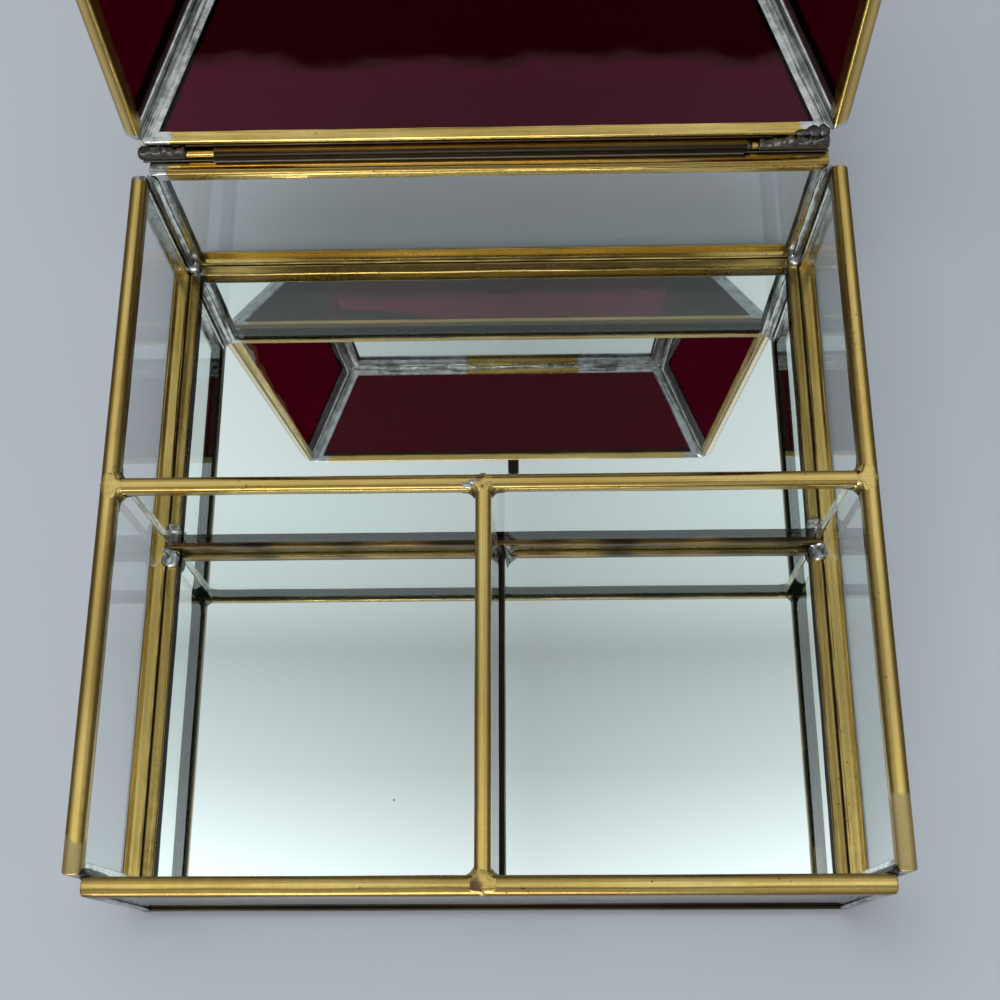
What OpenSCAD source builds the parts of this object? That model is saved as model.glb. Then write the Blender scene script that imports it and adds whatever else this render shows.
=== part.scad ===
// Glass casket box: a square box of clear glass panes edged with folded brass channel, with a
// mirror floor, a T-shaped glass divider, and a hip-roofed lid of ruby glass with a clear top.
// The lid turns on a long brass tube with a rod through it, and is drawn standing open.
// Millimetres, +Z up. The origin is the middle of the underside, and the front faces -Y.

/* [Box] */
// Width of the box over its side frames
box_w = 190; // [140:1:260]
// Depth of the box over its front and rear frames
box_d = 190; // [140:1:260]
// Height of the box walls
box_h = 52; // [35:1:90]

/* [Panes] */
// Thickness of the glass in the walls and the lid
glass_t = 3; // [2:0.1:4]
// Thickness of the mirror in the floor
mirror_t = 2; // [1.5:0.1:4]
// Clearance between a pane and its channel, on each face and at the edge
pane_gap = 0.15; // [0.05:0.05:0.3]

/* [Brass channel] */
// Thickness of the brass strip that the channel is folded from
strip_t = 0.7; // [0.4:0.05:1]
// Depth of the channel, from its back to its lips
channel_depth = 3.6; // [3:0.1:6]
// Rounding along both edges of the channel's back
channel_round = 1.2; // [0.5:0.1:1.5]
// Depth of the narrower channel round the mirror
floor_channel_depth = 3.4; // [2.5:0.1:6]
// Clearance between the mirror's frame and the walls
floor_gap = 0.1; // [0.05:0.05:0.3]

/* [Dividers] */
// Thickness of the dividers' glass, whose channels are narrower by as much as it is thinner
divider_glass_t = 2.4; // [1.5:0.1:4]
// How far the cross divider stands behind the middle of the box
cross_back = 2.5; // [-30:0.5:30]
// How far the top of the mid divider stands to the right of the middle
mid_right = -1; // [-30:0.5:30]
// Sideways lean of the mid divider, in degrees, with its foot to the right
mid_lean = 2.8; // [0:0.1:4]
// Clearance at the ends of a divider's channels
divider_gap = 0.3; // [0.2:0.05:0.6]
// How far the raw side edges of a divider's glass stop short of its channels' ends
divider_glass_short = 1.7; // [0.5:0.1:4]

/* [Lid] */
// Height of the lid, from the plane of its lower edge to the underside of its top pane
lid_rise = 37.5; // [24:0.5:46]
// Distance that the left and right panes of the lid lean inwards over that height
lid_side_run = 22; // [14:1:32]
// Distance that the front and rear panes of the lid lean inwards over that height
lid_end_run = 26; // [14:1:36]
// How far the middle of the lid stands to the right of the middle of the box
lid_right = -0.5; // [-1:0.1:1]
// Gap between the closed lid and the rim of the box
lid_gap = 0.3; // [0.2:0.05:0.6]
// Angle between the lid and the rim of the box, as the open lid is drawn
lid_open = 98; // [60:1:110]
// Width of the lift tab at the front of the lid
tab_w = 5; // [4:0.5:12]
// How far the lift tab stands to the right of the middle of the lid
tab_right = 3; // [-30:0.5:30]
// How far the lift tab reaches past the edge of the lid
tab_reach = 10; // [5:0.5:14]
// Thickness of the lift tab
tab_t = 1; // [0.6:0.1:2]

/* [Hinge] */
// Outer diameter of the hinge tube
tube_d = 3.6; // [3:0.1:5]
// Diameter of the rod in the hinge tube
rod_d = 2; // [1.2:0.1:2.4]
// Radial clearance of the rod in the tube
rod_gap = 0.05; // [0.02:0.01:0.1]
// How far the left end of the hinge tube stands in from the left side of the box
tube_left_inset = 22.5; // [22:0.5:60]
// How far the right end of the hinge tube stands in from the right side of the box
tube_right_inset = 26.5; // [22:0.5:60]
// How far round the rounded edge of the rear rim the tube lies, in degrees above level
tube_seat = 50; // [35:5:60]
// Gap between the hinge tube and the lid
hinge_gap = 0.2; // [0.15:0.05:0.5]
// Bare length of rod between an end of the tube and the solder that holds the rod to the lid
rod_bare = 6.5; // [2:0.5:10]
// Length of that solder
rod_solder_l = 10; // [5:0.5:12]

/* [Solder] */
// Radius of the solder bead along a corner or a hip
bead_r = 2; // [1.5:0.1:2.6]
// Radius of the concave fillets at the ends of the dividers
fillet_r = 3; // [1.5:0.1:4]
// Radius of the solder nub in the foot of each outer corner
nub_r = 2.1; // [1.5:0.1:2.6]

/* [Hidden] */
$fn = 48;
// Overlap that lets a cutter pass clean through a face
cut = 0.5;
// Length that is past the end of any pane
beyond = box_w + box_d;

channel_w = glass_t + 2 * (pane_gap + strip_t);
floor_channel_w = mirror_t + 2 * (pane_gap + strip_t);
divider_w = divider_glass_t + 2 * (pane_gap + strip_t);
edge_inset = strip_t + pane_gap;

// Inside of the walls, which is also the length of the wall panes' frames
inner_w = box_w - 2 * channel_w;
inner_d = box_d - 2 * channel_w;
floor_w = inner_w - 2 * floor_gap;
floor_d = inner_d - 2 * floor_gap;

// Dividers: they stand on the lips of the mirror's frame, level with the rim
divider_h = box_h - floor_channel_w;
cross_l = inner_w - 2 * divider_gap;
mid_front = -inner_d / 2 + divider_gap;
mid_rear = cross_back - divider_w / 2 - divider_gap;
mid_l = mid_rear - mid_front;
mid_h = (divider_h - divider_w / 2 * sin(mid_lean)) / cos(mid_lean);

// Hinge: the tube lies against the rounded rear edge of the rear rim
tube_left_x = tube_left_inset - box_w / 2;
tube_right_x = box_w / 2 - tube_right_inset;
tube_l = tube_right_x - tube_left_x;
tube_seat_r = channel_round + tube_d / 2;
hinge_y = box_d / 2 - channel_round + tube_seat_r * cos(tube_seat);
hinge_z = box_h - channel_round + tube_seat_r * sin(tube_seat);
rod_end_gap = 1;
rod_l = tube_l + 2 * (rod_bare + rod_solder_l - rod_end_gap);
left_rod_solder_x = tube_left_x - rod_bare - rod_solder_l;
right_rod_solder_x = tube_right_x + rod_bare;
// Tacks of solder that hold the tube: their length and radius
tack_l = 7;
tack_r = 1.3;
// Solder from the rod to the lid: its width, and its reach past the rounding of the lid's edge
bridge_w = 2.4;
bridge_l = tube_d / 2 + hinge_gap + channel_round;

// Lid: a hip roof whose front edge stands over the front rim and whose rear edge clears the tube
side_slope = atan(lid_rise / lid_side_run);
side_slant = norm([lid_rise, lid_side_run]);
end_slope = atan(lid_rise / lid_end_run);
end_slant = norm([lid_rise, lid_end_run]);
lid_base_z = box_h + lid_gap;
lid_front_y = -box_d / 2 + channel_w * sin(end_slope);
tube_to_edge = tube_d / 2 + hinge_gap;
hinge_over_base = hinge_z - lid_base_z;
lid_rear_y = hinge_y - (tube_to_edge + hinge_over_base * sin(end_slope)) / cos(end_slope);
lid_mid_y = (lid_front_y + lid_rear_y) / 2;
lid_half_w = box_w / 2 - channel_w * sin(side_slope);
lid_half_d = (lid_rear_y - lid_front_y) / 2;
top_half_w = lid_half_w - lid_side_run;
top_half_d = lid_half_d - lid_end_run;
end_outline = sloping(lid_half_w, top_half_w, end_slant);
side_outline = sloping(lid_half_d, top_half_d, side_slant);

// Hips: their length, and half the angle inside between two panes
hip_l = norm([lid_side_run, lid_end_run, lid_rise]);
hip_half = 90 - acos(cos(side_slope) * cos(end_slope)) / 2;
// How far the beads stop short of the corners of the lid and of the rim and foot of the box
hip_bead_short = 3;
top_bead_short = 5;
seam_end_gap = 0.6;

// Legs of the fillets, which leave their feathered tips off, and the nub's distance from the floor
fillet_leg = 0.8 * fillet_r;
nub_back = 0.4;

// Length of the lift tab that lies on the front frame
tab_seat = channel_depth - strip_t;

// ---- Outlines of panes -------------------------------------------------------------------

// Outline of a rectangle that stands on y = 0, centred on x = 0
function upright(w, h) = [[-w / 2, 0], [w / 2, 0], [w / 2, h], [-w / 2, h]];

// Outline of a rectangle centred on the origin
function centred(w, d) = [[-w / 2, -d / 2], [w / 2, -d / 2], [w / 2, d / 2], [-w / 2, d / 2]];

// Outline of a sloping lid pane, with its lower edge on y = 0, from half its widths and its height
function sloping(half, top, slant) = [[-half, 0], [half, 0], [top, slant], [-top, slant]];

function unit(v) = v / norm(v);
function left_of(v) = [-v[1], v[0]];

// Inward normal of the outline's edge that starts at point i
function edge_normal(pts, i) = left_of(unit(pts[(i + 1) % len(pts)] - pts[i]));

// The outline, moved inwards by distance d on every edge
function inset(pts, d) = [
    for (i = [0 : len(pts) - 1])
        let (a = edge_normal(pts, (i + len(pts) - 1) % len(pts)), b = edge_normal(pts, i))
            pts[i] + d * (a + b) / (1 + a * b)
];

// ---- Channel and panes -------------------------------------------------------------------

// Solid section of a channel: its back on x = 0 with rounded edges, its inner face on y = 0
module channel_outline(w, depth) {
    translate([channel_round, 0]) square([depth - channel_round, w]);
    translate([0, channel_round]) square([depth, w - 2 * channel_round]);
    for (y = [channel_round, w - channel_round])
        translate([channel_round, y]) circle(channel_round);
}

// Section of a channel with the slot that takes its pane
module channel_section(w, depth) {
    difference() {
        channel_outline(w, depth);
        translate([strip_t, strip_t]) square([depth, w - 2 * strip_t]);
    }
}

// Extrusion along X of a section that is drawn in Y and Z
module along_x(l) {
    rotate([90, 0, 90]) linear_extrude(l) children();
}

// A divider's channel along X with its back on z = 0 and its slot downwards
module channel_bar(l) {
    translate([-l / 2, -divider_w / 2, 0])
        rotate([0, 90, 0]) linear_extrude(l) channel_section(divider_w, channel_depth);
}

// A plate over an outline, from z = 0 to z = w, with a channel's rounding along all its edges
module rounded_plate(pts, w) {
    intersection_for (i = [0 : len(pts) - 1]) {
        edge = pts[(i + 1) % len(pts)] - pts[i];
        translate(pts[i]) rotate(atan2(edge[1], edge[0])) translate([-beyond, 0, 0])
            along_x(2 * beyond) channel_outline(w, beyond);
    }
}

// A channel folded round a pane's outline, from z = 0 to z = w
module channel_frame(pts, w, depth) {
    difference() {
        rounded_plate(pts, w);
        translate([0, 0, -cut]) linear_extrude(w + 2 * cut) polygon(inset(pts, depth));
        translate([0, 0, strip_t]) linear_extrude(w - 2 * strip_t) polygon(inset(pts, strip_t));
    }
}

// A pane that fills the slots of the channel round its outline
module pane(pts, t) {
    translate([0, 0, edge_inset]) linear_extrude(t) polygon(inset(pts, edge_inset));
}

// ---- Solder ------------------------------------------------------------------------------

// Section of a bead of solder where two frames meet, opening inwards along +X by half to each side
module seam_section(half, r) {
    difference() {
        circle(r);
        for (side = [0, 1])
            mirror([0, side]) rotate(half) channel_outline(channel_w, channel_depth);
    }
}

// A concave fillet in a right-angled corner between +X and +Y
module corner_fillet(h) {
    linear_extrude(h) difference() {
        square(fillet_leg);
        translate([fillet_r, fillet_r]) circle(fillet_r);
    }
}

// Two fillets, one on each side of a divider's channel, at the end of it that faces -X
module end_fillets(h) {
    for (side = [0, 1])
        mirror([0, side]) translate([0, divider_w / 2, 0]) corner_fillet(h);
}

// ---- Box ---------------------------------------------------------------------------------

// Stands a pane's outline up as a wall, turned about Z from the front, its inner face at half
module wall(turn, half) {
    rotate(turn) translate([0, -half, 0]) rotate([90, 0, 0]) children();
}

module wall_frame(turn, l, half) {
    color("darkgoldenrod") wall(turn, half) channel_frame(upright(l, box_h), channel_w, channel_depth);
}

module wall_glass(turn, l, half) {
    color("lightcyan", 0.4) wall(turn, half) pane(upright(l, box_h), glass_t);
}

module floor_frame() {
    color("goldenrod")
        channel_frame(centred(floor_w, floor_d), floor_channel_w, floor_channel_depth);
}

module floor_mirror() {
    color("aliceblue") pane(centred(floor_w, floor_d), mirror_t);
}

// Solder up the corner at the signs given: a bead above the floor, and a nub in the outer notch
module corner_solder(x_sign, y_sign) {
    color("silver")
        translate([x_sign * inner_w / 2, y_sign * inner_d / 2, 0])
            rotate(atan2(-y_sign, -x_sign)) {
                translate([0, 0, floor_channel_w])
                    linear_extrude(box_h - floor_channel_w - seam_end_gap) seam_section(45, bead_r);
                translate([0, 0, seam_end_gap])
                    linear_extrude(floor_channel_w) intersection() {
                        seam_section(45, nub_r);
                        translate([-nub_r - nub_back, -nub_r]) square([nub_r, 2 * nub_r]);
                    }
            }
}

// ---- Dividers ----------------------------------------------------------------------------

// Frames of reference of the dividers: X along the divider, z = 0 at its top
module cross_place() {
    translate([0, cross_back, box_h]) children();
}

module mid_place() {
    translate([mid_right, (mid_front + mid_rear) / 2, box_h])
        rotate([0, -mid_lean, 0]) rotate(90) children();
}

module divider_glass(l, h) {
    color("lightcyan", 0.4)
        translate([divider_glass_short - l / 2, -divider_glass_t / 2, edge_inset - h])
            cube([l - 2 * divider_glass_short, divider_glass_t, h - 2 * edge_inset]);
}

module top_channel(l) {
    color("goldenrod") channel_bar(l);
}

module bottom_channel(l, h) {
    color("goldenrod") translate([0, 0, -h]) rotate([180, 0, 0]) channel_bar(l);
}

// Fillets at the rim: at both ends of the cross divider, at the T and at the front wall
module divider_top_solder() {
    color("darkgoldenrod") {
        cross_place() for (end = [0, 1])
            mirror([end, 0, 0]) translate([-inner_w / 2, 0, -channel_depth])
                end_fillets(channel_depth - channel_round);
        mid_place() for (end = [0, 1])
            mirror([end, 0, 0]) translate([-mid_l / 2 - divider_gap, 0, -channel_depth])
                end_fillets(channel_depth - channel_round);
    }
}

// Fillets at the floor: on the lips of the mirror's frame, and in the corners of the T
module divider_floor_solder() {
    color("silver") {
        cross_place() for (end = [0, 1])
            mirror([end, 0, 0]) translate([-inner_w / 2, 0, -divider_h])
                end_fillets(channel_depth - channel_round);
        mid_place() for (end = [0, 1])
            mirror([end, 0, 0])
                translate([-mid_l / 2 - divider_gap, 0, fillet_leg * sin(mid_lean) - mid_h])
                    end_fillets(channel_depth - channel_round);
    }
}

// ---- Hinge -------------------------------------------------------------------------------

module hinge_place(x) {
    translate([x, hinge_y, hinge_z]) rotate([0, 90, 0]) children();
}

module hinge_tube() {
    color("darkgoldenrod") hinge_place(tube_left_x) difference() {
        cylinder(h = tube_l, d = tube_d);
        translate([0, 0, -cut]) cylinder(h = tube_l + 2 * cut, d = rod_d + 2 * rod_gap);
    }
}

// Section of the rear rim, in Y and Z
module rear_rim_section() {
    translate([inner_d / 2, box_h]) rotate(-90) channel_outline(channel_w, channel_depth);
}

// Tacks of solder in the crevices between the tube and the rear rim
module hinge_tube_solder() {
    spacing = (tube_l - tack_l) / 2;
    color("silver")
        for (i = [-1, 0, 1])
            translate([(tube_left_x + tube_right_x - tack_l) / 2 + i * spacing, 0, 0])
                along_x(tack_l) difference() {
                    translate([hinge_y, hinge_z]) rotate(tube_seat) translate([-tube_d / 2, 0])
                        circle(tack_r);
                    translate([hinge_y, hinge_z]) circle(d = tube_d);
                    rear_rim_section();
                }
}

module hinge_rod() {
    color("dimgray") hinge_place(left_rod_solder_x + rod_end_gap) cylinder(h = rod_l, d = rod_d);
}

// Section of the solder between the rod and the rear edge of the closed lid, in Y and Z
module rod_solder_section() {
    difference() {
        translate([hinge_y, hinge_z]) {
            circle((rod_d + tube_d) / 4);
            rotate(180 - end_slope) translate([0, -bridge_w / 2]) square([bridge_l, bridge_w]);
        }
        translate([lid_rear_y, lid_base_z])
            rotate(180 - end_slope) mirror([0, 1]) channel_outline(channel_w, channel_depth);
    }
}

module rod_solder(x) {
    color("dimgray") difference() {
        hinge_turn() translate([x, 0, 0]) along_x(rod_solder_l) rod_solder_section();
        hinge_rod();
    }
}

// ---- Lid ---------------------------------------------------------------------------------

// Turns the closed lid to its open position
module hinge_turn() {
    translate([0, hinge_y, hinge_z])
        rotate([-lid_open, 0, 0]) translate([0, -hinge_y, -hinge_z]) children();
}

// Frame of reference of the lid: z = 0 in the plane of its lower edge, X and Y from its middle
module lid_place() {
    hinge_turn() translate([lid_right, lid_mid_y, lid_base_z]) children();
}

// Lays a pane's outline on the front slope of the lid, or on the rear one where turn is 180
module end_place(turn) {
    lid_place() rotate(turn) translate([0, -lid_half_d, 0]) rotate([end_slope, 0, 0]) children();
}

// Lays a pane's outline on the right slope of the lid, or on the left one where turn is -90
module side_place(turn) {
    lid_place() rotate(turn) translate([0, -lid_half_w, 0]) rotate([side_slope, 0, 0]) children();
}

module end_frame(turn) {
    color("darkgoldenrod")
        end_place(turn) channel_frame(end_outline, channel_w, channel_depth);
}

module side_frame(turn) {
    color("darkgoldenrod")
        side_place(turn) channel_frame(side_outline, channel_w, channel_depth);
}

module end_glass(turn) {
    color("maroon", 0.8) end_place(turn) pane(end_outline, glass_t);
}

module side_glass(turn) {
    color("maroon", 0.8) side_place(turn) pane(side_outline, glass_t);
}

module lid_top_frame() {
    color("goldenrod") lid_place() translate([0, 0, lid_rise])
        channel_frame(centred(2 * top_half_w, 2 * top_half_d), channel_w, channel_depth);
}

module lid_top_glass() {
    color("lightcyan", 0.4) lid_place() translate([0, 0, lid_rise])
        pane(centred(2 * top_half_w, 2 * top_half_d), glass_t);
}

// Solder up the hip at the signs given. Its section opens inwards, midway between the two panes.
module hip_solder(x_sign, y_sign) {
    up = unit([-x_sign * lid_side_run, -y_sign * lid_end_run, lid_rise]);
    inwards = -unit([
        x_sign * sin(side_slope), y_sign * sin(end_slope), cos(side_slope) + cos(end_slope)
    ]);
    across = cross(up, inwards);
    color("silver") lid_place()
        translate([x_sign * lid_half_w, y_sign * lid_half_d, 0])
            multmatrix([for (i = [0 : 2]) [inwards[i], across[i], up[i], 0]])
                translate([0, 0, hip_bead_short])
                    linear_extrude(hip_l - 2 * hip_bead_short) seam_section(hip_half, bead_r);
}

// Solder along one edge of the top pane, turned about Z from the front
module top_bead(turn, half, half_l, slope) {
    l = 2 * (half_l - top_bead_short);
    rotate(turn) translate([-l / 2, -half, 0])
        along_x(l) rotate(slope / 2 - 90) seam_section(90 - slope / 2, bead_r);
}

module lid_top_solder() {
    color("silver") lid_place() translate([0, 0, lid_rise])
        for (turn = [0, 180]) {
            top_bead(turn, top_half_d, top_half_w, end_slope);
            top_bead(turn + 90, top_half_w, top_half_d, side_slope);
        }
}

// Tab with a round end, laid on the outer face of the front frame and reaching past its edge
module lift_tab() {
    color("goldenrod") end_place(0) translate([tab_right, 0, channel_w]) {
        translate([-tab_w / 2, tab_w / 2 - tab_reach, 0])
            cube([tab_w, tab_reach + tab_seat - tab_w / 2, tab_t]);
        translate([0, tab_w / 2 - tab_reach, 0]) cylinder(h = tab_t, d = tab_w);
    }
}

// ---- The assembly ------------------------------------------------------------------------

wall_glass(0, inner_w, inner_d / 2);  // front_glass
wall_glass(180, inner_w, inner_d / 2);  // rear_glass
wall_glass(-90, inner_d, inner_w / 2);  // left_glass
wall_glass(90, inner_d, inner_w / 2);  // right_glass
floor_mirror();
wall_frame(0, inner_w, inner_d / 2);  // front_frame
wall_frame(180, inner_w, inner_d / 2);  // rear_frame
wall_frame(-90, inner_d, inner_w / 2);  // left_frame
wall_frame(90, inner_d, inner_w / 2);  // right_frame
floor_frame();
corner_solder(-1, -1);  // front_left_solder
corner_solder(1, -1);  // front_right_solder
corner_solder(-1, 1);  // rear_left_solder
corner_solder(1, 1);  // rear_right_solder

cross_place() divider_glass(cross_l, divider_h);  // cross_divider_glass
cross_place() top_channel(cross_l);  // cross_divider_top_channel
cross_place() bottom_channel(cross_l, divider_h);  // cross_divider_bottom_channel
mid_place() divider_glass(mid_l, mid_h);  // mid_divider_glass
mid_place() top_channel(mid_l);  // mid_divider_top_channel
mid_place() bottom_channel(mid_l, mid_h);  // mid_divider_bottom_channel
divider_top_solder();
divider_floor_solder();

hinge_tube();
hinge_tube_solder();

end_glass(0);  // lid_front_glass
end_glass(180);  // lid_rear_glass
side_glass(-90);  // lid_left_glass
side_glass(90);  // lid_right_glass
lid_top_glass();
end_frame(0);  // lid_front_frame
end_frame(180);  // lid_rear_frame
side_frame(-90);  // lid_left_frame
side_frame(90);  // lid_right_frame
lid_top_frame();
hip_solder(-1, -1);  // lid_front_left_hip_solder
hip_solder(1, -1);  // lid_front_right_hip_solder
hip_solder(-1, 1);  // lid_rear_left_hip_solder
hip_solder(1, 1);  // lid_rear_right_hip_solder
lid_top_solder();
hinge_rod();
rod_solder(left_rod_solder_x);  // hinge_rod_left_solder
rod_solder(right_rod_solder_x);  // hinge_rod_right_solder
lift_tab();
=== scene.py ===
"""Looks of the glass casket box: folded brass channel with patina, tinned seams and lumps of solder,
clear and ruby glass, and a back-silvered mirror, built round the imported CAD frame."""

import math

import bmesh
import bpy
from mathutils import Matrix, Vector, noise


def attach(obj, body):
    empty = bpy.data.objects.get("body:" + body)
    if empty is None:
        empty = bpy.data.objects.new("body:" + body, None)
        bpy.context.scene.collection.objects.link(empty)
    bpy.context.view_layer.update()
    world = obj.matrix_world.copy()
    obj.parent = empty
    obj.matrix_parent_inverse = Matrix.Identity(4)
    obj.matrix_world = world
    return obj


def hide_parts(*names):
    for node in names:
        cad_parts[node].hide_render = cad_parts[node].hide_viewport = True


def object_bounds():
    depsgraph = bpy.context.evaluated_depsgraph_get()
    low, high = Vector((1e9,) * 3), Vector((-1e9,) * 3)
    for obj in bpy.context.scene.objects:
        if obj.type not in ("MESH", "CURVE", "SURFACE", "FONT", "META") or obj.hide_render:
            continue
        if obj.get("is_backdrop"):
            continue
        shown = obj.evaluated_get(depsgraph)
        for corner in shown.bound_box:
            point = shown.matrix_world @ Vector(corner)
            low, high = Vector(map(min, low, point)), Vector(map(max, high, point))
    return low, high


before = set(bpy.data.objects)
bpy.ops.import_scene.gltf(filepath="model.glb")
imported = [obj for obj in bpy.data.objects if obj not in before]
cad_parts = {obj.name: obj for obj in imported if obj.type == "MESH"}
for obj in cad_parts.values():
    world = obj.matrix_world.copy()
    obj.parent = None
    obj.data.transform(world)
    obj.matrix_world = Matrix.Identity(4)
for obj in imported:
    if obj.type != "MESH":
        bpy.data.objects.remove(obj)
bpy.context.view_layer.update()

MM = 0.001

# Sizes in millimetres, as in the CAD model. X is across the box, Y towards its hinge, Z up.
BOX = 190.0
BOX_H = 52.0
GLASS_T = 3.0
MIRROR_T = 2.0
PANE_GAP = 0.15
STRIP_T = 0.7
CHANNEL_W = GLASS_T + 2 * (PANE_GAP + STRIP_T)
CHANNEL_D = 3.6
FLOOR_W = MIRROR_T + 2 * (PANE_GAP + STRIP_T)
FLOOR_D = 3.4
EDGE = STRIP_T + PANE_GAP
INNER = BOX - 2 * CHANNEL_W
FLOOR_GAP = 0.1
FLOOR = INNER - 2 * FLOOR_GAP
DIVIDER_H = BOX_H - FLOOR_W
DIVIDER_T = 2.4
DIVIDER_W = DIVIDER_T + 2 * (PANE_GAP + STRIP_T)
CROSS_Y = 2.5
DIVIDER_GAP = 0.3
DIVIDER_GLASS_SHORT = 1.7
CROSS_L = INNER - 2 * DIVIDER_GAP
MID_FRONT = -INNER / 2 + DIVIDER_GAP
MID_X = -1.0
MID_REAR = CROSS_Y - DIVIDER_W / 2 - DIVIDER_GAP
MID_L = MID_REAR - MID_FRONT
MID_LEAN = math.radians(2.8)
MID_H = (DIVIDER_H - DIVIDER_W / 2 * math.sin(MID_LEAN)) / math.cos(MID_LEAN)
HINGE_Y = 95.7284
HINGE_Z = 53.0981
TUBE_R = 1.8
TUBE_X = (-72.5, 68.5)
LID_OPEN = math.radians(98)
SIDE_RUN = 22.0
END_RUN = 26.0
LID_RISE = 37.5
LID_RIGHT = -0.5
LID_Z = BOX_H + 0.3  # the shut lid stands a little above the rim
SIDE_SLOPE = math.atan2(LID_RISE, SIDE_RUN)
END_SLOPE = math.atan2(LID_RISE, END_RUN)
LID_FRONT_Y = -BOX / 2 + CHANNEL_W * math.sin(END_SLOPE)
TUBE_GAP = 0.2
LID_REAR_Y = HINGE_Y - (TUBE_R + TUBE_GAP + (HINGE_Z - LID_Z) * math.sin(END_SLOPE)) / math.cos(END_SLOPE)
LID_MID_Y = (LID_FRONT_Y + LID_REAR_Y) / 2
LID_HALF_W = BOX / 2 - CHANNEL_W * math.sin(SIDE_SLOPE)
LID_HALF_D = (LID_REAR_Y - LID_FRONT_Y) / 2
TOP_HALF_W = LID_HALF_W - SIDE_RUN
TOP_HALF_D = LID_HALF_D - END_RUN

scene = bpy.context.scene
scene.view_settings.view_transform = "Standard"


# ---- Places ------------------------------------------------------------------------------

def turn_z(degrees):
    return Matrix.Rotation(math.radians(degrees), 4, "Z")


def moved(x, y, z):
    return Matrix.Translation((x, y, z))


LID_TURN = (moved(0, HINGE_Y, HINGE_Z) @ Matrix.Rotation(-LID_OPEN, 4, "X")
            @ moved(0, -HINGE_Y, -HINGE_Z))
LID_PLACE = LID_TURN @ moved(LID_RIGHT, LID_MID_Y, LID_Z)
TOP_PLACE = LID_PLACE @ moved(0, 0, LID_RISE)
CROSS_PLACE = moved(0, CROSS_Y, BOX_H)
MID_PLACE = (moved(MID_X, (MID_FRONT + MID_REAR) / 2, BOX_H)
             @ Matrix.Rotation(-MID_LEAN, 4, "Y") @ turn_z(90))


def wall_place(turn):
    """Stands a wall's outline up at one side of the box."""
    return turn_z(turn) @ moved(0, -INNER / 2, 0) @ Matrix.Rotation(math.pi / 2, 4, "X")


def slope_place(turn):
    """Leans a slope's outline on one side of the open lid."""
    end = turn in (0, 180)
    return (LID_PLACE @ turn_z(turn) @ moved(0, -(LID_HALF_D if end else LID_HALF_W), 0)
            @ Matrix.Rotation(END_SLOPE if end else SIDE_SLOPE, 4, "X"))


# ---- Noise and small sums ----------------------------------------------------------------

def wobble(p, wave, seed):
    """Smooth noise from -1 to 1 at a place in millimetres, with that wavelength."""
    q = Vector((p[0] / wave + 7.3 * seed, p[1] / wave - 3.1 * seed, p[2] / wave + 1.7 * seed))
    return noise.noise(q)


def ramp(x, a, b):
    """0 at a, 1 at b, smooth in between."""
    t = min(1.0, max(0.0, (x - a) / (b - a)))
    return t * t * (3 - 2 * t)


def spoke(angle):
    """The direction in Y and Z at that angle."""
    return Vector((0, math.cos(angle), math.sin(angle)))


# ---- Meshes ------------------------------------------------------------------------------

def finish_mesh(name, bm, body, nodes, materials, angle=38):
    """Makes an object of a bmesh in millimetres, hangs it on the body it rides and hides the nodes it
    replaces.
    """
    bmesh.ops.recalc_face_normals(bm, faces=bm.faces)
    for v in bm.verts:
        v.co *= MM
    limit = math.radians(angle)
    for f in bm.faces:
        f.smooth = True
    for e in bm.edges:
        e.smooth = len(e.link_faces) == 2 and e.calc_face_angle(0) < limit
    mesh = bpy.data.meshes.new(name)
    bm.to_mesh(mesh)
    bm.free()
    piece = bpy.data.objects.new(name, mesh)
    scene.collection.objects.link(piece)
    for m in materials:
        mesh.materials.append(m)
    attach(piece, body)
    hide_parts(*nodes)


def layer(bm, name):
    return bm.verts.layers.float.get(name) or bm.verts.layers.float.new(name)


def join_rings(bm, a, b):
    """Joins two closed rings of vertices with a band of faces."""
    for k in range(len(a)):
        n = (k + 1) % len(a)
        bm.faces.new((a[k], a[n], b[n], b[k]))


def strip_faces(bm, rings):
    """Joins closed rings of vertices into a skin, with a cap at each end."""
    for a, b in zip(rings, rings[1:]):
        join_rings(bm, a, b)
    bm.faces.new(rings[0][::-1])
    bm.faces.new(rings[-1])


def channel_profile(w, depth, edge, bulge):
    """Closed section of a channel: (distance from the back, height, crown share, lip share).

    With no bulge its back is one oval from side to side, as high as edge."""
    outer = [(depth, 0.32, 0, 1), (depth - 0.22, 0.0, 0, 1), (depth - 0.9, 0, 0, 0.7),
             (0.5 * (depth + edge), 0, 0, 0.15)]
    if bulge:
        for k in range(6):
            a = math.pi / 2 * k / 5
            z = edge * (1 - math.cos(a))
            outer.append((edge * (1 - math.sin(a)) + bulge, z, 2 * z / w, 0))
        for k in (1, 2):
            z = edge + (w / 2 - edge) * k / 3
            outer.append((bulge * (1 - k / 3) ** 2, z, 2 * z / w, 0))
    else:
        for k in range(10):
            a = math.pi / 2 * k / 10
            z = w / 2 * (1 - math.cos(a) ** 0.85)
            outer.append((edge * (1 - math.sin(a) ** 0.85), z, 2 * z / w, 0))
    section = outer + [(0, w / 2, 1, 0)] + [(d, w - z, c, l) for d, z, c, l in reversed(outer)]
    hollow = STRIP_T + 1.0
    return section + [(depth, w - STRIP_T, 0, 1), (hollow, w - STRIP_T, 0, 0),
                      (hollow, STRIP_T, 0, 0), (depth, STRIP_T, 0, 1)]


def inset(pts, d):
    """The corners of an outline moved inwards by d."""
    out = []
    n = len(pts)
    for i in range(n):
        e0 = (pts[i] - pts[i - 1]).normalized()
        e1 = (pts[(i + 1) % n] - pts[i]).normalized()
        a = Vector((-e0.y, e0.x))
        b = Vector((-e1.y, e1.x))
        out.append(pts[i] + d * (a + b) / (1 + a.dot(b)))
    return out


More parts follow.
